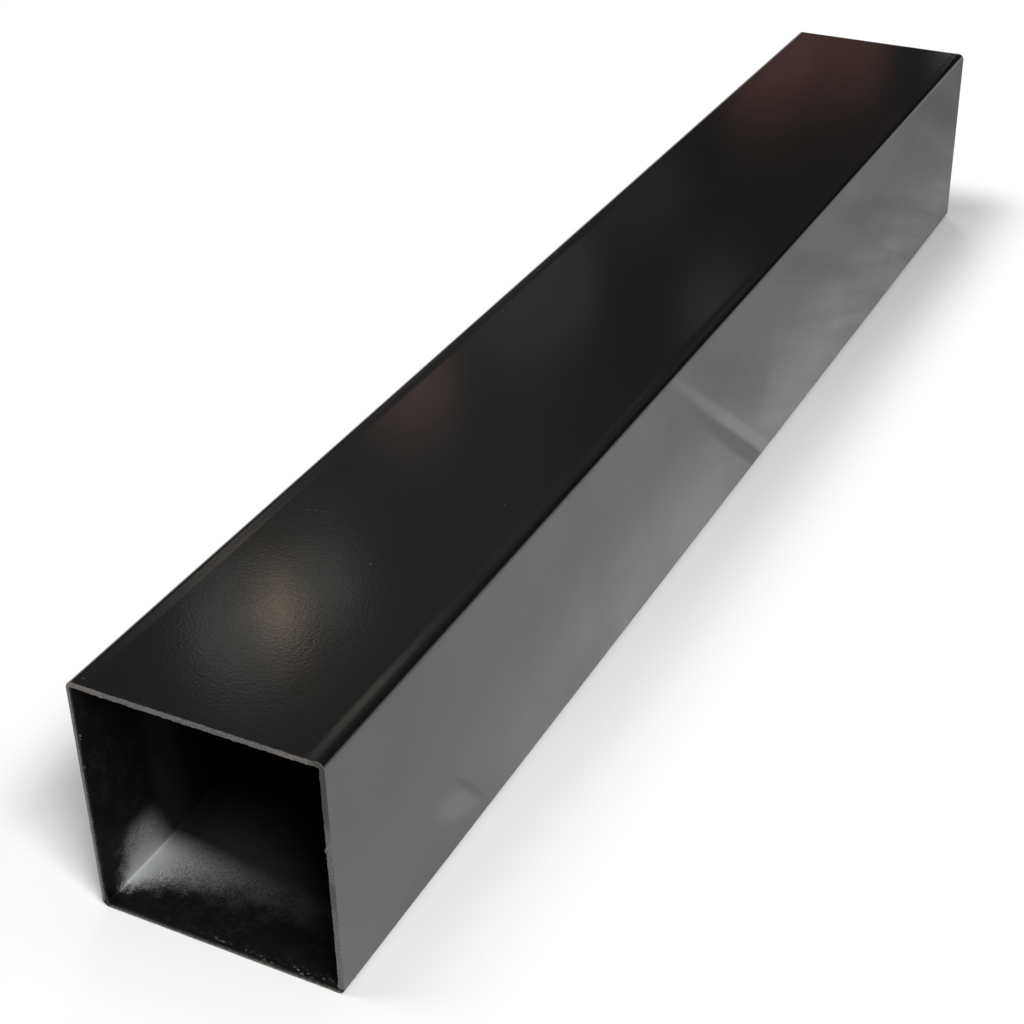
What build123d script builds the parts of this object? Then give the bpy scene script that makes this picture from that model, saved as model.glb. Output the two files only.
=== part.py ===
from build123d import *
import os

# Square steel post: one length of roll-formed, seam-welded square tube, sawn square at both ends
# and lying on one of its flat sides. Sizes are in millimetres. X runs across the post, Y along it
# and Z up. The origin is under the middle of the post, on the surface that it lies on.

# Driving dimensions
section_side = 100.0  # outside width and height of the tube
wall = 2.0  # thickness of the steel strip that the tube is rolled from
inside_bend_radius = 1.0  # inside radius of the four rolled corners
post_length = 700.0  # from one sawn end to the other
seam_above_middle = 14.0  # weld seam, measured up from the middle of the wall that it runs along
flash_rise = 0.6  # how far the weld flash stands into the bore
flash_half_width = 1.2  # from the seam line to the foot of the flash

# Sizes that follow from them
outside_bend_radius = inside_bend_radius + wall
bore_side = section_side - 2 * wall


def rolled_strip():
    # Square ring of even thickness, with its inner and outer bends about the same centres
    outline = RectangleRounded(section_side, section_side, outside_bend_radius)
    bore = RectangleRounded(bore_side, bore_side, inside_bend_radius)
    return outline - bore


def weld_flash():
    # Low ridge that the seam weld leaves inside one wall; its outer half lies within that wall
    return Pos(bore_side / 2, seam_above_middle) * Ellipse(flash_rise, flash_half_width)


section = Plane.XZ * Pos(0, section_side / 2) * (rolled_strip() + weld_flash())
post_tube = extrude(section, amount=post_length / 2, both=True)

os.makedirs("parts", exist_ok=True)
export_step(post_tube, "parts/post_tube.step")
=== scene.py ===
import bpy
import math
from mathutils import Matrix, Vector, noise


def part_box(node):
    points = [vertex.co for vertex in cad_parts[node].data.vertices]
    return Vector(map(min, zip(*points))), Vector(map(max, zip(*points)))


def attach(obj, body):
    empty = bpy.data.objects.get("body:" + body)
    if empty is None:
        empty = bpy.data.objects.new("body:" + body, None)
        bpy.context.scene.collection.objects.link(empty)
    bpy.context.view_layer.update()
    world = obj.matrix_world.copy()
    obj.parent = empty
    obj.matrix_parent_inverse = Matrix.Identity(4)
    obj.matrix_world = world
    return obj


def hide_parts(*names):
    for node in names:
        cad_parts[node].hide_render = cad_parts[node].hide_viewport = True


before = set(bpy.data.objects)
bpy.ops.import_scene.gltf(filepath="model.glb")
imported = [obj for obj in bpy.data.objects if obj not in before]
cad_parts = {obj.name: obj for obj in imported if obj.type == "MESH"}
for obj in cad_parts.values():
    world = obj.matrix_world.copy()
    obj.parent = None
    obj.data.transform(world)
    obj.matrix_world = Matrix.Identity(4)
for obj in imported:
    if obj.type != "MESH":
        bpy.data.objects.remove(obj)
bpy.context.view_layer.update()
scene = bpy.context.scene
scene.view_settings.view_transform = "Standard"
print("frame loaded:", sorted(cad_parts))

# sizes of the post that its mesh and its finishes share
mm = 0.001
halfSide = 50 * mm
halfLength = 350 * mm
wallThickness = 2 * mm


# node helpers: a socket given as a value is linked, anything else is set on the input
def addNode(tree, kind, inputs=None, **settings):
    node = tree.nodes.new("ShaderNode" + kind)
    for name, value in settings.items():
        setattr(node, name, value)
    for key, value in (inputs or {}).items():
        if isinstance(value, bpy.types.NodeSocket):
            tree.links.new(value, node.inputs[key])
        else:
            node.inputs[key].default_value = value
    return node


def calc(tree, operation, first, second=0.0):
    return addNode(tree, "Math", {0: first, 1: second}, operation=operation).outputs[0]


def product(tree, *values):
    total = values[0]
    for value in values[1:]:
        total = calc(tree, "MULTIPLY", total, value)
    return total


def inverse(tree, value):
    return calc(tree, "SUBTRACT", 1.0, value)


# noise from 0 to 1 turned into a shift, up to half of the reach each way
def shiftBy(tree, value, reach):
    return product(tree, calc(tree, "SUBTRACT", value, 0.5), reach)


# 1 at no distance, falling off over the given distance
def decay(tree, distance, over):
    return calc(tree, "POWER", math.e, calc(tree, "DIVIDE", distance, -over))


def remap(tree, value, limits, results=(0.0, 1.0)):
    inputs = {
        "Value": value,
        "From Min": limits[0],
        "From Max": limits[1],
        "To Min": results[0],
        "To Max": results[1],
    }
    return addNode(tree, "MapRange", inputs, interpolation_type="SMOOTHSTEP").outputs["Result"]


def mixColor(tree, share, first, second):
    node = addNode(tree, "Mix", {"Factor": share, 6: first, 7: second}, data_type="RGBA")
    return node.outputs[2]


def noiseAt(tree, vector, scale, detail=2.0, roughness=0.5):
    inputs = {"Vector": vector, "Scale": scale, "Detail": detail, "Roughness": roughness}
    return addNode(tree, "TexNoise", inputs).outputs["Fac"]


def stretch(tree, vector, scale, turn=(0.0, 0.0, 0.0)):
    angles = [math.radians(angle) for angle in turn]
    inputs = {"Vector": vector, "Scale": scale, "Rotation": angles}
    return addNode(tree, "Mapping", inputs).outputs["Vector"]


def vectorMath(tree, operation, first, second):
    return addNode(tree, "VectorMath", {0: first, 1: second}, operation=operation).outputs[0]


# moves a vector about by noise, up to half of the reach each way
def warp(tree, vector, scale, reach):
    drift = addNode(tree, "TexNoise", {"Vector": vector, "Scale": scale, "Detail": 1.0}).outputs["Color"]
    offset = vectorMath(tree, "SUBTRACT", drift, (0.5, 0.5, 0.5))
    return vectorMath(tree, "ADD", vector, vectorMath(tree, "MULTIPLY", offset, reach))


def newGroup(name, inputs, outputs):
    group = bpy.data.node_groups.new(name, "ShaderNodeTree")
    for label, kind in inputs:
        group.interface.new_socket(name=label, in_out="INPUT", socket_type="NodeSocket" + kind)
    for label, kind in outputs:
        group.interface.new_socket(name=label, in_out="OUTPUT", socket_type="NodeSocket" + kind)
    return group, group.nodes.new("NodeGroupInput").outputs, group.nodes.new("NodeGroupOutput").inputs


def newMaterial(name):
    material = bpy.data.materials.new(name)
    material.use_nodes = True
    tree = material.node_tree
    place = addNode(tree, "TexCoord").outputs["Object"]
    axes = addNode(tree, "SeparateXYZ", {"Vector": place}).outputs
    return material, tree, tree.nodes["Principled BSDF"], place, axes


# effects that the finishes share
def makeOrangePeel():
    group, given, result = newGroup(
        "orangePeel",
        [("Vector", "Vector"), ("Grain", "Float"), ("Swell", "Float"), ("Swell Share", "Float")],
        [("Height", "Float")],
    )
    grain = noiseAt(group, given["Vector"], given["Grain"], detail=1.5)
    swell = noiseAt(group, given["Vector"], given["Swell"], detail=1.0)
    lifted = product(group, swell, given["Swell Share"])
    group.links.new(calc(group, "ADD", grain, lifted), result["Height"])
    return group


def makeSpecks():
    group, given, result = newGroup(
        "specks",
        [("Vector", "Vector"), ("Cells", "Float"), ("Share", "Float"), ("Reach", "Float")],
        [("Mask", "Float")],
    )
    leastReach = 0.35
    softEdge = (1.0, 0.45)
    cells = addNode(group, "TexVoronoi", {"Vector": given["Vector"], "Scale": given["Cells"]})
    pick = addNode(group, "SeparateColor", {"Color": cells.outputs["Color"]}).outputs
    kept = calc(group, "LESS_THAN", pick["Red"], given["Share"])
    reach = product(group, given["Reach"], calc(group, "ADD", pick["Green"], leastReach))
    spot = remap(group, calc(group, "DIVIDE", cells.outputs["Distance"], reach), softEdge)
    group.links.new(product(group, kept, spot), result["Mask"])
    return group


def makeClouds():
    group, given, result = newGroup(
        "clouds",
        [("Vector", "Vector"), ("Scale", "Float"), ("Low", "Float"), ("High", "Float")],
        [("Mask", "Float")],
    )
    drift = noiseAt(group, given["Vector"], given["Scale"], detail=4.0, roughness=0.55)
    group.links.new(remap(group, drift, (given["Low"], given["High"])), result["Mask"])
    return group


# one soft ellipse at a place of its own
def makeMark():
    group, given, result = newGroup(
        "softMark",
        [
            ("Vector", "Vector"), ("Centre", "Vector"), ("Half Sizes", "Vector"), ("Turn", "Vector"),
            ("Softness", "Float"), ("Strength", "Float"),
        ],
        [("Mask", "Float")],
    )
    inputs = {
        "Vector": given["Vector"],
        "Location": given["Centre"],
        "Rotation": given["Turn"],
        "Scale": given["Half Sizes"],
    }
    local = addNode(group, "Mapping", inputs, vector_type="TEXTURE").outputs["Vector"]
    spot = addNode(group, "TexGradient", {"Vector": local}, gradient_type="SPHERICAL").outputs["Fac"]
    mask = remap(group, spot, (0.0, given["Softness"]), (0.0, given["Strength"]))
    group.links.new(mask, result["Mask"])
    return group


orangePeel = makeOrangePeel()
specks = makeSpecks()
clouds = makeClouds()
softMark = makeMark()
print("shared effects:", [effect.name for effect in (orangePeel, specks, clouds, softMark)])


def peelBump(tree, shader, place, finish):
    inputs = {
        "Vector": place,
        "Grain": finish["peelGrain"],
        "Swell": finish["peelSwell"],
        "Swell Share": finish["peelSwellShare"],
    }
    height = addNode(tree, "Group", inputs, node_tree=orangePeel).outputs["Height"]
    bumpFrom(tree, shader, height, finish["peelDepth"])


# specks are given as cells per metre, share of the cells that hold one, and reach
def speckMask(tree, vector, values):
    cells, share, reach = values
    inputs = {"Vector": vector, "Cells": cells, "Share": share, "Reach": reach}
    return addNode(tree, "Group", inputs, node_tree=specks).outputs["Mask"]


# clouds are given as waves per metre and the noise levels at which they start and are full
def cloudMask(tree, vector, values):
    scale, low, high = values
    inputs = {"Vector": vector, "Scale": scale, "Low": low, "High": high}
    return addNode(tree, "Group", inputs, node_tree=clouds).outputs["Mask"]


# marks are given as centre and half sizes in mm, turn in degrees, and strength
def markMask(tree, place, marks, softness=0.6):
    total = 0.0
    for centre, halfSizes, turn, strength in marks:
        inputs = {
            "Vector": place,
            "Centre": [value * mm for value in centre],
            "Half Sizes": [value * mm for value in halfSizes],
            "Turn": [math.radians(angle) for angle in turn],
            "Softness": softness,
            "Strength": strength,
        }
        mark = addNode(tree, "Group", inputs, node_tree=softMark).outputs["Mask"]
        total = calc(tree, "MAXIMUM", total, mark)
    return total


def bumpFrom(tree, shader, height, depth):
    bump = addNode(tree, "Bump", {"Height": height, "Distance": depth, "Strength": 1.0})
    tree.links.new(bump.outputs["Normal"], shader.inputs["Normal"])


# satin black coat on the outside
coatFinish = {
    "black": (0.0052, 0.0053, 0.0052, 1),
    "dustAndSheen": (0.300, 0.312, 0.305, 1),  # wiped dust on the upright sides, and a painted reflection of the pale floor and room in the satin coat
    "speck": (0.085, 0.085, 0.08, 1),
    "bareEdge": (0.10, 0.098, 0.094, 1),
    "index": 1.6,
    "roughness": 0.110,
    "smudgedRoughness": 0.120,
    "smudges": (30.0, 0.42, 0.68),
    "rimRoughness": 0.165,  # where the top rises to its bends, behind the near mouth
    "rimAcross": (41.5 * mm, 44.0 * mm),
    "rimAlong": (-210 * mm, -120 * mm),
    "dustyRoughness": 0.60,  # on the upright sides
    "wornRoughness": 0.3,  # added along the sawn edges
    "peelGrain": 850.0,
    "peelSwell": 40.0,
    "peelSwellShare": 0.6,
    "peelDepth": 0.016 * mm,
    "uprightFrom": (49.6 * mm, 49.94 * mm),  # from the middle of the post
    "evenDustAndSheen": 0.27,
    # its share along the post is painted reflection too: it follows how bright the mirrored floor is, less
    # near the mouth and half at the far end
    "nearEnd": (-330 * mm, -140 * mm),
    "nearShares": (0.66, 1.0),
    "farEnd": (100 * mm, 340 * mm),
    "farShares": (1.0, 0.50),
    "lowFloorSheen": 0.75,  # more of it towards the ground: a painted reflection of the bright floor beside the post
    "lowHeights": (75 * mm, -5 * mm),
    "lowAlong": (-320 * mm, 0.0),
    "lowShares": (0.14, 0.60),
    "unevenness": (11.0, 0.30, 0.72),
    "unevenShares": (0.85, 1.12),
    "smearDustAndSheen": 0.20,
    "smears": (1.0, 0.34, 0.68),
    "smearTurn": (24, 0, 0),
    "smearStretch": (20, 6, 75),
    "smearAlong": (-60 * mm, 120 * mm),
    "smearHeights": (85 * mm, 15 * mm),
    "smearShares": (0.25, 1.0),
    "lightStreakShare": 0.36,
    # lighter diagonal streaks in the dust and painted reflection
    "lightStreaks": [
        ((50, 28, 16.3), (4, 190, 5), (-38.7, 0, 0), 0.55),
        ((50, -268, 20), (4, 26, 8), (-30, 0, 0), 0.30),
        ((50, 170, 14), (4, 60, 5), (-20, 0, 0), 0.35),
        ((50, 255, 22), (4, 60, 6), (-24, 0, 0), 0.35),
    ],
    "darkStreaks": [  # thin dark lines in the dust and painted reflection
        ((50, 18, 15.2), (4, 110, 6), (-38.9, 0, 0), 0.45),
        ((50, -258, 20), (4, 24, 2.5), (-50, 0, 0), 0.30),
        ((50, 35.8, 40.5), (4, 8, 0.8), (81, 0, 0), 0.55),
    ],
    "darkClouds": [  # and broad clouds where there is less of the dust and painted reflection
        ((50, -8, 70), (4, 110, 17), (-34, 0, 0), 0.25),
        ((50, 108, 73), (4, 135, 14), (-27, 0, 0), 0.36),
        ((50, 160, 82), (4, 135, 14), (-23, 0, 0), 0.36),
        ((50, 322, 74), (4, 135, 22), (-27, 0, 0), 0.70),
        ((50, 352, 88), (4, 44, 22), (-20, 0, 0), 0.55),
    ],
    "warpScale": 22.0,
    "warpReach": (0.0, 30 * mm, 12 * mm),
    "grit": (300.0, 0.004, 0.08),
    "scratchBreaks": (900.0, 0.40, 0.58),
    "scratches": [
        ((-30, -225, 100), (6.5, 0.35, 4), (0, 0, 13), 0.5),
        ((6, -247, 100), (2.6, 0.3, 4), (0, 0, -14), 0.6),
        ((33, -249, 100), (1.2, 0.4, 4), (0, 0, 20), 0.5),
        ((32, -192, 100), (0.8, 0.4, 4), (0, 0, 60), 0.5),
        ((-10, 114, 100), (9, 0.4, 4), (0, 0, 24), 0.45),
        ((-45.2, -346.2, 100), (0.7, 0.5, 4), (0, 0, 30), 0.9),
        ((24, -343, 100), (0.6, 0.5, 4), (0, 0, 0), 0.4),
    ],
    "wornGrain": 900.0,
    "wornFray": 0.9 * mm,
    "wornTo": (0.9 * mm, 0.35 * mm),  # from the sawn end
}


def fromMouth(tree, axes):
    return calc(tree, "SUBTRACT", halfLength, calc(tree, "ABSOLUTE", axes["Y"]))


# dust on the upright sides, with a painted reflection of the pale floor and room: lighter low down, less at
# the far end, with streaks and clouds
def dustAndSheenMask(tree, place, axes, finish):
    even = product(tree, remap(tree, axes["Y"], finish["nearEnd"], finish["nearShares"]), finish["evenDustAndSheen"])
    even = product(tree, even, remap(tree, axes["Y"], finish["farEnd"], finish["farShares"]))
    low = remap(tree, axes["Z"], finish["lowHeights"])
    low = product(tree, low, remap(tree, axes["Y"], finish["lowAlong"], finish["lowShares"]))
    dustAndSheen = calc(tree, "ADD", product(tree, low, finish["lowFloorSheen"]), even)
    uneven = cloudMask(tree, place, finish["unevenness"])
    dustAndSheen = product(tree, dustAndSheen, remap(tree, uneven, (0.0, 1.0), finish["unevenShares"]))

    turned = stretch(tree, place, (1, 1, 1), finish["smearTurn"])
    smear = cloudMask(tree, stretch(tree, turned, finish["smearStretch"]), finish["smears"])
    smear = product(tree, smear, remap(tree, axes["Y"], finish["smearAlong"]))
    smear = product(tree, smear, remap(tree, axes["Z"], finish["smearHeights"], finish["smearShares"]))
    dustAndSheen = calc(tree, "ADD", dustAndSheen, product(tree, smear, finish["smearDustAndSheen"]))
    lightStreaks = markMask(tree, place, finish["lightStreaks"])
    dustAndSheen = calc(tree, "ADD", dustAndSheen, product(tree, lightStreaks, finish["lightStreakShare"]))

    darkStreaks = markMask(tree, place, finish["darkStreaks"])
    warped = warp(tree, place, finish["warpScale"], finish["warpReach"])
    darkClouds = markMask(tree, warped, finish["darkClouds"], softness=1.0)
    return product(tree, dustAndSheen, inverse(tree, darkStreaks), inverse(tree, darkClouds))


def makeCoat(finish):
    material, tree, shader, place, axes = newMaterial("blackCoat")
    across = calc(tree, "ABSOLUTE", axes["X"])
    upright = remap(tree, across, finish["uprightFrom"])
    dustAndSheen = dustAndSheenMask(tree, place, axes, finish)
    # the upright sides take the dust and painted reflection
    color = mixColor(tree, product(tree, dustAndSheen, upright), finish["black"], finish["dustAndSheen"])
    grit = speckMask(tree, place, finish["grit"])
    breaks = cloudMask(tree, place, finish["scratchBreaks"])
    scratch = product(tree, markMask(tree, place, finish["scratches"]), breaks)
    color = mixColor(tree, calc(tree, "MAXIMUM", grit, scratch), color, finish["speck"])
    frayed = product(tree, noiseAt(tree, place, finish["wornGrain"]), finish["wornFray"])
    worn = remap(tree, calc(tree, "ADD", fromMouth(tree, axes), frayed), finish["wornTo"])
    color = mixColor(tree, worn, color, finish["bareEdge"])
    tree.links.new(color, shader.inputs["Base Color"])

    smudge = cloudMask(tree, place, finish["smudges"])
    roughness = remap(tree, smudge, (0.0, 1.0), (finish["roughness"], finish["smudgedRoughness"]))
    rim = remap(tree, across, finish["rimAcross"])
    rim = product(tree, rim, remap(tree, axes["Y"], finish["rimAlong"], (1.0, upright)))
    rimDulls = product(tree, rim, finish["rimRoughness"] - finish["roughness"])
    dustDulls = product(tree, upright, finish["dustyRoughness"] - finish["rimRoughness"])
    wearDulls = product(tree, worn, finish["wornRoughness"])
    for dulls in (rimDulls, dustDulls, wearDulls):
        roughness = calc(tree, "ADD", roughness, dulls)
    tree.links.new(roughness, shader.inputs["Roughness"])
    shader.inputs["IOR"].default_value = finish["index"]
    peelBump(tree, shader, place, finish)
    return material


# bare steel at the sawn ends, with overspray over the inner part of the left and bottom walls
sawnFinish = {
    "steel": (0.150, 0.148, 0.144, 1),
    "dullSteel": (0.073, 0.072, 0.070, 1),
    "brownSteel": (0.168, 0.140, 0.122, 1),
    "overspray": (0.004, 0.004, 0.004, 1),
    "grime": (0.030, 0.031, 0.031, 1),
    "metallic": 0.35,
    "shine": 0.2,
    "roughness": (0.42, 0.65),
    "grain": 1500.0,
    "grainLevels": (0.38, 0.62),
    "strokes": (500.0, 500.0, 2200.0),
    "strokeLevels": (0.3, 0.7),
    "strokeDepth": 0.03 * mm,
    "brownClouds": (75.0, 0.50, 0.66),
    "brownShare": 0.75,
    "grimy": [
        ((49, -350, 92), (6, 6, 30), (0, 0, 0), 0.8),
        ((49, -350, 44), (6, 6, 9), (0, 0, 0), 0.5),
    ],
    "leftWall": (-47.2 * mm, -47.6 * mm),
    "bottomWall": (2.8 * mm, 2.4 * mm),
    "leftSpray": (1.15 * mm, 1.5 * mm),  # from the outside of the wall
    "leftSprayTop": (98.2 * mm, 97.4 * mm),
    "bottomSpray": (1.0 * mm, 1.3 * mm),
    "sprayGrain": 700.0,
    "sprayFray": 1.6 * mm,
}


def makeSawnSteel(finish):
    material, tree, shader, place, axes = newMaterial("sawnSteel")
    grain = noiseAt(tree, place, finish["grain"])
    strokes = noiseAt(tree, stretch(tree, place, finish["strokes"]), 1.0, detail=3.0)
    color = mixColor(tree, remap(tree, grain, finish["grainLevels"]), finish["dullSteel"], finish["steel"])
    onLeft = remap(tree, axes["X"], finish["leftWall"])
    onBottom = remap(tree, axes["Z"], finish["bottomWall"])
    brown = cloudMask(tree, place, finish["brownClouds"])
    brown = calc(tree, "MAXIMUM", brown, calc(tree, "MAXIMUM", onLeft, onBottom))
    color = mixColor(tree, product(tree, brown, finish["brownShare"]), color, finish["brownSteel"])
    color = mixColor(tree, markMask(tree, place, finish["grimy"]), color, finish["grime"])

    fray = shiftBy(tree, noiseAt(tree, place, finish["sprayGrain"]), finish["sprayFray"])
    leftDepth = calc(tree, "ADD", calc(tree, "ADD", axes["X"], halfSide), fray)
    leftPaint = product(tree, remap(tree, leftDepth, finish["leftSpray"]), onLeft)
    leftPaint = product(tree, leftPaint, remap(tree, axes["Z"], finish["leftSprayTop"]))
    bottomPaint = remap(tree, calc(tree, "ADD", axes["Z"], fray), finish["bottomSpray"])
    paint = calc(tree, "MAXIMUM", leftPaint, product(tree, bottomPaint, onBottom))
    color = mixColor(tree, paint, color, finish["overspray"])
    tree.links.new(color, shader.inputs["Base Color"])
    roughness = remap(tree, strokes, finish["strokeLevels"], finish["roughness"])
    tree.links.new(roughness, shader.inputs["Roughness"])
    metal = product(tree, inverse(tree, paint), finish["metallic"])
    tree.links.new(metal, shader.inputs["Metallic"])
    shader.inputs["Specular IOR Level"].default_value = finish["shine"]
    bumpFrom(tree, shader, calc(tree, "ADD", strokes, grain), finish["strokeDepth"])
    return material


# inside: black overspray, with a bare patch along the lower left corner behind each mouth; the patch is also
# a painted pool of light, brightest at the corner and ended by a painted shadow edge
boreFinish = {
    "black": (0.0022, 0.0022, 0.0022, 1),
    "overspray": (0.0095, 0.0095, 0.009, 1),
    "bare": (0.47, 0.485, 0.478, 1),
    "grit": (0.20, 0.185, 0.165, 1),
    "roughness": 0.6,
    "shine": 0.15,
    "peelGrain": 900.0,
    "peelSwell": 160.0,
    "peelSwellShare": 1.0,
    "peelDepth": 0.05 * mm,
    "speckle": (700.0, 0.38, 0.68),
    "speckleClouds": (90.0, 0.36, 0.64),
    # the patch on each wall: depth behind the mouth at which it starts at the corner, how much deeper it
    # starts away from the corner and over what distance, depth at which it ends, and how much sooner it
    # ends for each mm from the corner. It starts at the overspray's edge; its end is a painted shadow edge.
    "bottomPatch": (8.0, 18.0, 15.0, 37.0, 0.0),
    "leftPatch": (8.0, 8.5, 7.0, 36.5, 0.4),
    "patchSoftness": 10 * mm,
    "cornerSharper": 5 * mm,
    "patchShadowEdge": (8 * mm, -8 * mm),
    "patchGrain": 1300.0,
    "grainFray": 12 * mm,
    "patchDrift": 170.0,
    "driftFray": 14 * mm,
    # painted light: the patch fades along the bottom away from the corner, and stays low on the left wall
    "bottomFadeOver": 18 * mm,
    "bottomLeast": 0.05,
    "leftTop": (25 * mm, 12 * mm),
    "leftHeights": (14 * mm, 0.0),
    "leftShares": (0.42, 0.72),
    "mottleLevels": (0.35, 0.65),
    "mottleShares": (-0.30, 0.30),
    "mottleFrom": (3 * mm, 16 * mm),  # from the corner
    # bare steel showing through thin spray further in, brightened as painted light: a faint column up the
    # left wall and a band across the bottom
    "thinSprayAndLight": [
        ((-48, -307, 30), (5, 12, 60), (6, 0, 0), 0.026),
        ((0, -296, 2), (64, 32, 6), (0, 0, 0), 0.05),
    ],
    # flecks of grit on the bottom, just inside the mouth
    "flecks": (750.0, 0.54, 0.66),
    "fleckClouds": (70.0, 0.42, 0.56),
    "fleckDepths": (4.5 * mm, 0.8 * mm),
    "fleckAcross": (-12 * mm, 14 * mm),
    "fleckShares": (0.12, 1.0),
}


# a patch starts at the overspray's edge and ends at a painted shadow edge
def patchOn(tree, depth, distance, fray, values, finish):
    startAt, deeper, over, endAt = [value * mm for value in values[:4]]
    sooner = values[4]
    reach = decay(tree, distance, over)
    start = calc(tree, "SUBTRACT", startAt + deeper, product(tree, reach, deeper))
    softness = calc(tree, "SUBTRACT", finish["patchSoftness"], product(tree, reach, finish["cornerSharper"]))
    past = calc(tree, "ADD", calc(tree, "SUBTRACT", depth, start), fray)
    started = remap(tree, calc(tree, "DIVIDE", past, softness), (-1.0, 1.0))
    end = calc(tree, "SUBTRACT", endAt, product(tree, distance, sooner))
    ended = remap(tree, calc(tree, "SUBTRACT", depth, end), finish["patchShadowEdge"])
    return product(tree, started, ended)


# bare steel with a painted pool of light on it at the lower left corner
def bareAndLitPatch(tree, place, depth, fromLeft, fromBottom, onBottom, finish):
    grain = noiseAt(tree, place, finish["patchGrain"], detail=2.5, roughness=0.65)
    drift = noiseAt(tree, place, finish["patchDrift"], detail=3.0)
    fray = shiftBy(tree, grain, finish["grainFray"])
    fray = calc(tree, "ADD", fray, shiftBy(tree, drift, finish["driftFray"]))
    bottomFade = product(tree, decay(tree, fromLeft, finish["bottomFadeOver"]), 1 - finish["bottomLeast"])
    bottomFade = calc(tree, "ADD", bottomFade, finish["bottomLeast"])
    bottom = patchOn(tree, depth, fromLeft, fray, finish["bottomPatch"], finish)
    bottom = product(tree, bottom, bottomFade, onBottom)
    leftFade = remap(tree, fromBottom, finish["leftTop"])
    leftFade = product(tree, leftFade, remap(tree, fromBottom, finish["leftHeights"], finish["leftShares"]))
    left = patchOn(tree, depth, fromBottom, fray, finish["leftPatch"], finish)
    left = product(tree, left, leftFade, inverse(tree, onBottom))
    mottle = remap(tree, grain, finish["mottleLevels"], finish["mottleShares"])
    away = remap(tree, calc(tree, "MAXIMUM", fromLeft, fromBottom), finish["mottleFrom"])
    mottle = calc(tree, "ADD", 1.0, product(tree, mottle, away))
    bareAndLit = product(tree, calc(tree, "ADD", bottom, left), mottle)
    return calc(tree, "MAXIMUM", bareAndLit, markMask(tree, place, finish["thinSprayAndLight"]))


def makeBore(finish):
    material, tree, shader, place, axes = newMaterial("boreOverspray")
    depth = fromMouth(tree, axes)
    fromLeft = calc(tree, "MAXIMUM", calc(tree, "ADD", axes["X"], halfSide - wallThickness), 0.0)
    fromBottom = calc(tree, "MAXIMUM", calc(tree, "SUBTRACT", axes["Z"], wallThickness), 0.0)
    onBottom = calc(tree, "LESS_THAN", fromBottom, fromLeft)
    speckle = cloudMask(tree, place, finish["speckle"])
    speckle = product(tree, speckle, cloudMask(tree, place, finish["speckleClouds"]))
    color = mixColor(tree, speckle, finish["black"], finish["overspray"])
    # bare steel, carrying a painted pool of light
    bareAndLit = bareAndLitPatch(tree, place, depth, fromLeft, fromBottom, onBottom, finish)
    color = mixColor(tree, bareAndLit, color, finish["bare"])
    flecks = product(tree, cloudMask(tree, place, finish["flecks"]), onBottom)
    flecks = product(tree, flecks, cloudMask(tree, place, finish["fleckClouds"]))
    flecks = product(tree, flecks, remap(tree, depth, finish["fleckDepths"]))
    flecks = product(tree, flecks, remap(tree, axes["X"], finish["fleckAcross"], finish["fleckShares"]))
    color = mixColor(tree, flecks, color, finish["grit"])
    tree.links.new(color, shader.inputs["Base Color"])
    shader.inputs["Roughness"].default_value = finish["roughness"]
    shader.inputs["Specular IOR Level"].default_value = finish["shine"]
    peelBump(tree, shader, place, finish)
    return material


zones = {"coat": 0, "sawn": 1, "bore": 2}
finishes = [makeCoat(coatFinish), makeSawnSteel(sawnFinish), makeBore(boreFinish)]
print("finishes:", [finish.name for finish in finishes])


# the post: one rolled tube, walked as rings that run out along the outside, round the far end,
# back through the bore and round the near end
postTube = {
    "name": "postTube",
    "node": "post_tube",
    "slot": "black_coat",
    "outsideBend": 3.0 * mm,
    "pointStep": 0.5 * mm,  # across a flat side
    "bendSteps": 8,
    "ringStep": 35 * mm,  # along the post
    # the rolls leave each side a little lower than its bends: right, top, left and bottom
    "hollow": (0.04 * mm, 0.148 * mm, 0.04 * mm, 0.148 * mm),
    "rimFrom": 42.4 * mm,  # distance from the middle of a side at which it starts to rise to the bend
    "hollowFade": (10 * mm, 150 * mm),  # along the post, where the sides get flatter
    "hollowFarShare": 0.35,
    "seamWall": 0,
    "seamAboveMiddle": 14 * mm,
    "flashRise": 0.6 * mm,
    "flashHalfWidth": 1.2 * mm,
    "sharpAngle": 50,
}

# rings at a sawn end, from the outside to the bore: share of the wall, share of the burr, mm from the end
endRings = [
    (0.0, 0.0, 6.0), (0.0, 0.0, 2.0), (0.0, 0.0, 0.7), (0.0, 0.0, 0.2),
    (0.035, 0.0, 0.06), (0.11, 0.0, 0.0), (0.35, 0.1, 0.0), (0.65, 0.35, 0.0), (0.9, 0.75, 0.0),
    (1.0, 1.0, 0.05), (1.0, 0.85, 0.3), (1.0, 0.4, 0.7), (1.0, 0.08, 1.3), (1.0, 0.0, 2.4), (1.0, 0.0, 8.0),
]

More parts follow.
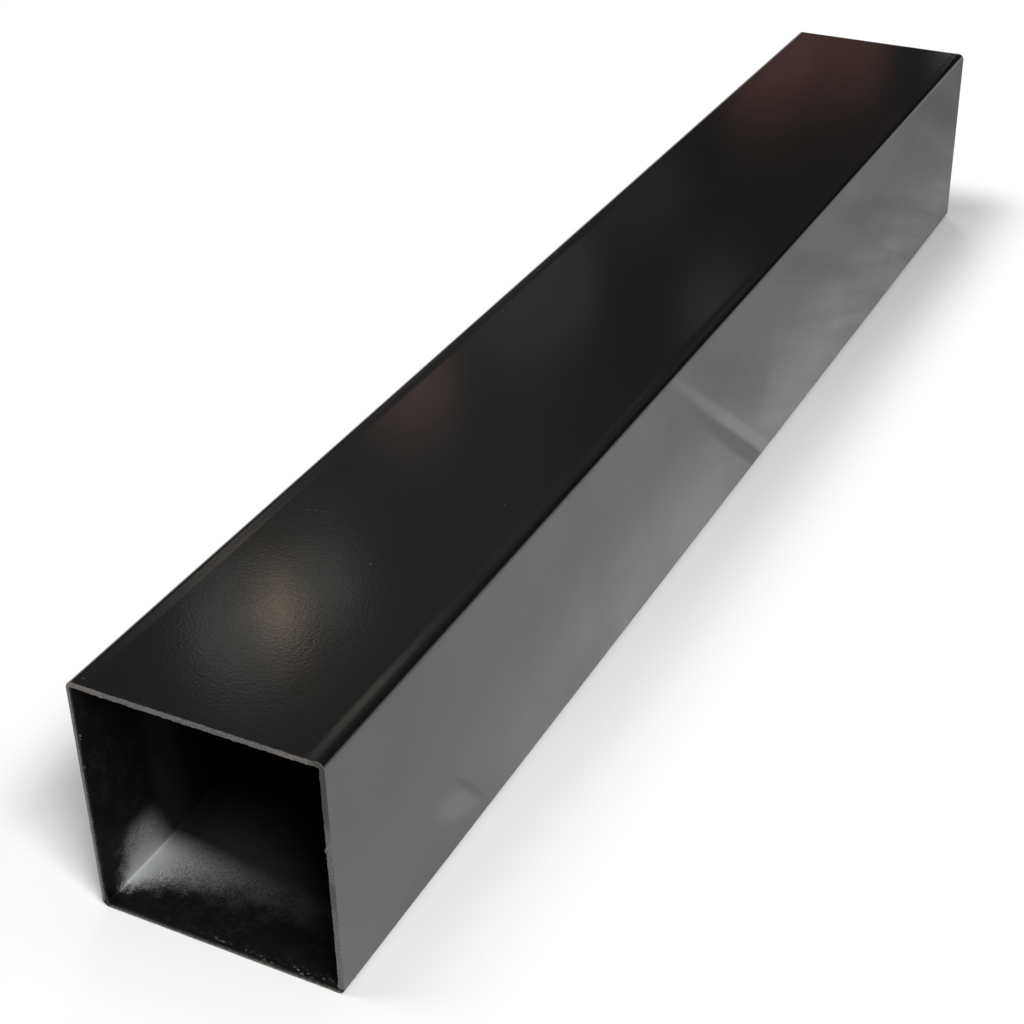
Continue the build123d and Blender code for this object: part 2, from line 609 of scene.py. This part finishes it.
# burr left by the saw on the inner edge, mm: even height and raggedness for the right, top, left and
# bottom walls, then single burrs as wall, place along it, half width and height
sawnEnds = {
    -1: {
        "even": (0.18, 0.16, 0.06, 0.10),
        "ragged": (0.30, 0.45, 0.30, 0.30),
        "single": [
            (0, 15.0, 1.0, -0.8), (0, 13.2, 0.5, 0.4), (2, -27.6, 0.5, 1.1), (2, -26.0, 0.4, 0.9),
            (2, -14.0, 0.8, 0.6), (2, -2.0, 0.5, 0.4), (2, 9.0, 0.7, 0.4), (2, 30.0, 0.6, 0.5),
            (3, 18.0, 0.8, 0.6), (3, 21.0, 0.6, 0.5), (3, 33.0, 0.9, 0.7), (3, 37.0, 0.7, 0.6),
            (2, 48.0, 3.0, 0.6), (0, -47.0, 2.0, 0.5),
        ],
        "seed": 3.7,
    },
    1: {
        "even": (0.15, 0.20, 0.20, 0.30),
        "ragged": (0.25, 0.25, 0.25, 0.30),
        "single": [(1, 12.0, 0.9, 0.6), (3, -22.0, 1.1, 0.7), (0, 30.0, 0.8, 0.5)],
        "seed": 11.3,
    },
}

sawCut = {
    "burrWaves": [(170, 0.5), (520, 0.8), (1100, 0.7)],  # waves per metre and share of the raggedness
    "leastBurr": 0.02,  # mm
    "waves": 260,  # unevenness of the cut, per metre
    "waveDepth": 0.09 * mm,
    "coatTo": 0.1,  # wall share, of two rings together, up to which the outside is coated
    "steelTo": 1.1,  # mm from the end up to which the inside is bare
}


def smooth(value, low, high):
    share = min(max((value - low) / (high - low), 0.0), 1.0)
    return share * share * (3 - 2 * share)


def sectionPoints(half, bend, step, bendSteps):
    flat = half - bend
    count = round(2 * flat / step)
    points = []
    for wall in range(4):
        turn = wall * math.pi / 2
        spots = [(half, flat * (2 * i / count - 1), 0.0, flat * (2 * i / count - 1)) for i in range(count)]
        for i in range(bendSteps):
            angle = math.pi / 2 * i / bendSteps
            across = flat + bend * math.cos(angle)
            spots.append((across, flat + bend * math.sin(angle), angle, flat + bend * angle))
        for across, up, angle, along in spots:
            x = across * math.cos(turn) - up * math.sin(turn)
            z = across * math.sin(turn) + up * math.cos(turn)
            outward = (math.cos(turn + angle), math.sin(turn + angle))
            points.append((x, z, outward, wall, along, angle))
    return points


def burrAt(point, end):
    x, z, outward, wall, along, angle = point
    share = angle / (math.pi / 2)
    after = (wall + 1) % 4
    height = end["even"][wall] * (1 - share) + end["even"][after] * share
    ragged = end["ragged"][wall] * (1 - share) + end["ragged"][after] * share
    for waves, part in sawCut["burrWaves"]:
        height += ragged * part * noise.noise(Vector((x * waves, z * waves, end["seed"] * waves)))
    for burrWall, place, halfWidth, rise in end["single"]:
        if burrWall == wall:
            height += rise * math.exp(-(((along / mm - place) / halfWidth) ** 2))
    return max(height, sawCut["leastBurr"]) * mm


# each ring is the end that it belongs to, or 0, then its wall share, burr share and place
def postRings(length, ringStep):
    lastRing = endRings[0][2] * mm
    spans = round((length - 2 * lastRing) / ringStep)
    middleRings = [(length - 2 * lastRing) * (i / spans - 0.5) for i in range(1, spans)]
    rings = [(-1, *ring) for ring in reversed(endRings)]
    rings += [(0, 0.0, 0.0, y) for y in middleRings]
    rings += [(1, *ring) for ring in endRings]
    rings += [(0, 1.0, 0.0, y) for y in reversed(middleRings)]
    return rings


def postVerts(post, rings, points, middle, half, length):
    flat = half - post["outsideBend"]
    burrs = {side: [burrAt(point, end) for point in points] for side, end in sawnEnds.items()}
    verts = []
    for side, wallShare, burrShare, fromEnd in rings:
        ringAt = side * (length / 2 - fromEnd * mm) if side else fromEnd
        hollowShare = 1 - (1 - post["hollowFarShare"]) * smooth(ringAt, *post["hollowFade"])
        for i, (x, z, outward, wall, along, angle) in enumerate(points):
            climb = smooth(abs(along), post["rimFrom"], flat)
            inset = wallShare * wallThickness
            inset += post["hollow"][wall] * hollowShare * (1 - climb)
            if wallShare == 1.0 and wall == post["seamWall"]:
                offSeam = (along - post["seamAboveMiddle"]) / post["flashHalfWidth"]
                inset += post["flashRise"] * math.sqrt(max(0.0, 1 - offSeam ** 2))
            y = ringAt
            if side:
                inset += burrShare * burrs[side][i]
                spot = Vector((x * sawCut["waves"], z * sawCut["waves"], sawnEnds[side]["seed"]))
                y -= side * sawCut["waveDepth"] * (0.5 + 0.5 * noise.noise(spot))
            atX = middle.x + x - outward[0] * inset
            atZ = middle.z + z - outward[1] * inset
            verts.append((atX, middle.y + y, atZ))
    return verts


def postFaces(rings, count):
    faces = []
    faceZones = []
    for j, ring in enumerate(rings):
        after = rings[(j + 1) % len(rings)]
        atEnd = ring[0] and after[0] and (ring[3] + after[3]) / 2 < sawCut["steelTo"]
        zone = "sawn" if atEnd else "bore"
        if ring[1] + after[1] < sawCut["coatTo"]:
            zone = "coat"
        row = j * count
        nextRow = (j + 1) % len(rings) * count
        for i in range(count):
            k = (i + 1) % count
            faces.append((row + i, row + k, nextRow + k, nextRow + i))
            faceZones.append(zones[zone])
    return faces, faceZones


def buildPost(post):
    low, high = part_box(post["node"])
    half = (high.x - low.x) / 2
    length = high.y - low.y
    points = sectionPoints(half, post["outsideBend"], post["pointStep"], post["bendSteps"])
    rings = postRings(length, post["ringStep"])
    verts = postVerts(post, rings, points, (low + high) / 2, half, length)
    faces, faceZones = postFaces(rings, len(points))
    mesh = bpy.data.meshes.new(post["name"])
    mesh.from_pydata(verts, [], faces)
    for finish in finishes:
        mesh.materials.append(finish)
    mesh.polygons.foreach_set("material_index", faceZones)
    mesh.polygons.foreach_set("use_smooth", [True] * len(faces))
    mesh.set_sharp_from_angle(angle=math.radians(post["sharpAngle"]))
    piece = bpy.data.objects.new(post["name"], mesh)
    scene.collection.objects.link(piece)
    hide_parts(post["node"])
    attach(piece, "root")
    print("post:", len(verts), "points,", len(faces), "faces")


buildPost(postTube)


# pale floor that sweeps up into a backdrop; away from the post it fades to plain white paper
sweep = {
    "name": "studioSweep",
    "radius": 4.0,
    "innerRings": (1.0, 2.0),
    "cove": 0.8,
    "coveSteps": 12,
    "height": 1.3,
    "spokes": 96,
    "pale": (0.88, 0.88, 0.88, 1),
    "dark": (0.03, 0.03, 0.03, 1),
    "darkHeights": (0.70, 1.25),  # from where the backdrop darkens: painted shade, standing in for a dim room for the post to mirror
    "roughness": 0.9,
    "shine": 0.1,
    # the part of the floor that keeps only its lamplight, and the fade beyond it
    "litMiddle": (-0.022, 0.0),
    "litHalf": (0.078, 0.362),
    "fade": (0.0, 0.05),
    "white": (1, 1, 1, 1),
}


def sweepMesh(sweep):
    profile = [(out, 0.0) for out in sweep["innerRings"]]
    for i in range(sweep["coveSteps"] + 1):
        angle = math.pi / 2 * i / sweep["coveSteps"]
        out = sweep["radius"] - sweep["cove"] * (1 - math.sin(angle))
        profile.append((out, sweep["cove"] * (1 - math.cos(angle))))
    profile.append((sweep["radius"], sweep["height"]))
    spokes = sweep["spokes"]
    verts = [(0.0, 0.0, 0.0)]
    for out, up in profile:
        for s in range(spokes):
            angle = 2 * math.pi * s / spokes
            verts.append((out * math.cos(angle), out * math.sin(angle), up))
    faces = [(0, 1 + s, 1 + (s + 1) % spokes) for s in range(spokes)]
    for j in range(len(profile) - 1):
        inner = 1 + j * spokes
        outer = inner + spokes
        for s in range(spokes):
            after = (s + 1) % spokes
            faces.append((inner + s, outer + s, outer + after, inner + after))
    mesh = bpy.data.meshes.new(sweep["name"])
    mesh.from_pydata(verts, [], faces)
    mesh.polygons.foreach_set("use_smooth", [True] * len(faces))
    return mesh


def makePaper(sweep):
    material, tree, shader, place, axes = newMaterial("palePaper")
    # the backdrop darkens higher up: painted shade for a dim room
    darken = remap(tree, axes["Z"], sweep["darkHeights"])
    tree.links.new(mixColor(tree, darken, sweep["pale"], sweep["dark"]), shader.inputs["Base Color"])
    shader.inputs["Roughness"].default_value = sweep["roughness"]
    shader.inputs["Specular IOR Level"].default_value = sweep["shine"]
    away = 0.0
    for axis, middle, half in zip("XY", sweep["litMiddle"], sweep["litHalf"]):
        off = calc(tree, "ABSOLUTE", calc(tree, "SUBTRACT", axes[axis], middle))
        off = calc(tree, "MAXIMUM", calc(tree, "SUBTRACT", off, half), 0.0)
        away = calc(tree, "ADD", away, product(tree, off, off))
    plain = remap(tree, calc(tree, "SQRT", away), sweep["fade"])
    rays = addNode(tree, "LightPath").outputs
    seen = calc(tree, "MAXIMUM", rays["Is Camera Ray"], rays["Is Glossy Ray"])
    seen = calc(tree, "MAXIMUM", seen, rays["Is Transmission Ray"])
    share = product(tree, plain, seen, inverse(tree, darken))
    glow = addNode(tree, "Emission", {"Color": sweep["white"], "Strength": 1.0}).outputs["Emission"]
    both = addNode(tree, "MixShader", {0: share, 1: shader.outputs["BSDF"], 2: glow}).outputs["Shader"]
    tree.links.new(both, tree.nodes["Material Output"].inputs["Surface"])
    return material


def addSweep(sweep):
    mesh = sweepMesh(sweep)
    mesh.materials.append(makePaper(sweep))
    floor = bpy.data.objects.new(sweep["name"], mesh)
    scene.collection.objects.link(floor)
    print("floor and backdrop ready")


addSweep(sweep)


# soft lamps: place, aim, width, watts and colour
lamps = {
    "keyBox": ((0.77, -0.85, 1.15), (0.0, -0.33, 0.0), 0.55, 20.5, (1.0, 1.0, 1.0)),
    "overheadBox": ((0.1, -0.2, 1.6), (0.1, -0.1, 0.0), 1.2, 4.0, (1.0, 1.0, 1.0)),
    "leftFill": ((-1.5, -0.7, 1.2), (-0.1, -0.05, 0.0), 0.9, 13.0, (1.0, 1.0, 1.0)),
    "backFill": ((-0.85, 1.45, 0.42), (0.0, 0.35, 0.05), 0.5, 8.0, (1.0, 1.0, 1.0)),
    # small far lamps that the top of the post mirrors
    "topGlint": ((-1.223, 1.293, 1.513), (0.0, -0.28, 0.1), 0.165, 0.0355, (0.96, 1.0, 0.94)),
    "topGlintWarm": ((-1.158, 1.316, 1.469), (0.0, -0.28, 0.1), 0.066, 0.0306, (1.0, 0.70, 0.50)),
    "topGlintBack": ((-1.184, 1.481, 1.533), (0.0, -0.28, 0.1), 0.114, 0.0175, (0.90, 1.0, 0.92)),
    "redGlint": ((-1.227, 1.842, 1.336), (-0.04, -0.13, 0.1), 0.182, 0.0325, (1.0, 0.59, 0.51)),
    "wideGlint": ((-1.252, 1.728, 1.461), (-0.03, -0.19, 0.1), 0.71, 0.030, (0.74, 1.0, 1.0)),
    "middleGlint": ((-1.106, 2.067, 1.233), (-0.03, -0.03, 0.1), 0.25, 0.0215, (0.98, 1.0, 0.93)),
    "leftGlint": ((-0.968, 2.206, 1.082), (-0.04, 0.10, 0.1), 0.20, 0.0054, (1.0, 1.0, 0.98)),
    "rightGlint": ((-0.805, 2.205, 1.285), (0.03, 0.01, 0.1), 0.13, 0.0054, (1.0, 1.0, 1.0)),
    "farGlint": ((-0.882, 2.599, 0.973), (-0.02, 0.29, 0.1), 0.177, 0.0210, (1.0, 0.42, 0.38)),
    "farGlintMiddle": ((-0.770, 2.725, 0.970), (-0.02, 0.29, 0.1), 0.17, 0.0158, (1.0, 0.42, 0.34)),
    "farGlintRight": ((-0.603, 2.852, 0.970), (0.02, 0.30, 0.1), 0.05, 0.006, (1.0, 0.94, 0.90)),
}
unmirrored = ["backFill"]  # lights the far end without a glint on the top


def addLamp(name, place, aim, width, watts, color):
    lamp = bpy.data.lights.new(name, "AREA")
    lamp.shape = "DISK" if "Glint" in name else "SQUARE"
    lamp.size = width
    lamp.energy = watts
    lamp.color = color
    holder = bpy.data.objects.new(name, lamp)
    holder.location = place
    holder.rotation_euler = (Vector(aim) - Vector(place)).to_track_quat("-Z", "Y").to_euler()
    holder.visible_camera = False
    holder.visible_glossy = name not in unmirrored
    scene.collection.objects.link(holder)


for name, values in lamps.items():
    addLamp(name, *values)
print("lamps:", list(lamps))

# the room above the paper: dim low down and to the right, brighter higher up
roomLight = {
    "color": (1, 1, 1, 1),
    "levels": (0.03, 0.10),
    "upward": (0.36, 0.60),  # part of the direction that points up
    "rightward": (-0.20, 0.25),
    "rightShares": (1.0, 0.15),
}


def addRoom(light):
    room = bpy.data.worlds.new("room")
    room.use_nodes = True
    tree = room.node_tree
    direction = addNode(tree, "TexCoord").outputs["Generated"]
    axes = addNode(tree, "SeparateXYZ", {"Vector": direction}).outputs
    level = remap(tree, axes["Z"], light["upward"], light["levels"])
    level = product(tree, level, remap(tree, axes["X"], light["rightward"], light["rightShares"]))
    background = tree.nodes["Background"]
    background.inputs["Color"].default_value = light["color"]
    tree.links.new(level, background.inputs["Strength"])
    scene.world = room
    print("room light ready")


addRoom(roomLight)


# camera at the photograph's place
photoCamera = {
    "name": "photoCamera",
    "place": (0.32485, -0.74676, 0.49508),
    "turn": (57.584, 1.098, 26.896),  # degrees about X, Y and Z
    "lens": 70.08,
    "sensor": 36.0,
}


def addCamera(view):
    camera = bpy.data.cameras.new(view["name"])
    camera.lens = view["lens"]
    camera.sensor_width = view["sensor"]
    holder = bpy.data.objects.new(view["name"], camera)
    holder.location = view["place"]
    holder.rotation_euler = [math.radians(angle) for angle in view["turn"]]
    scene.collection.objects.link(holder)
    scene.camera = holder
    print("camera ready")


addCamera(photoCamera)
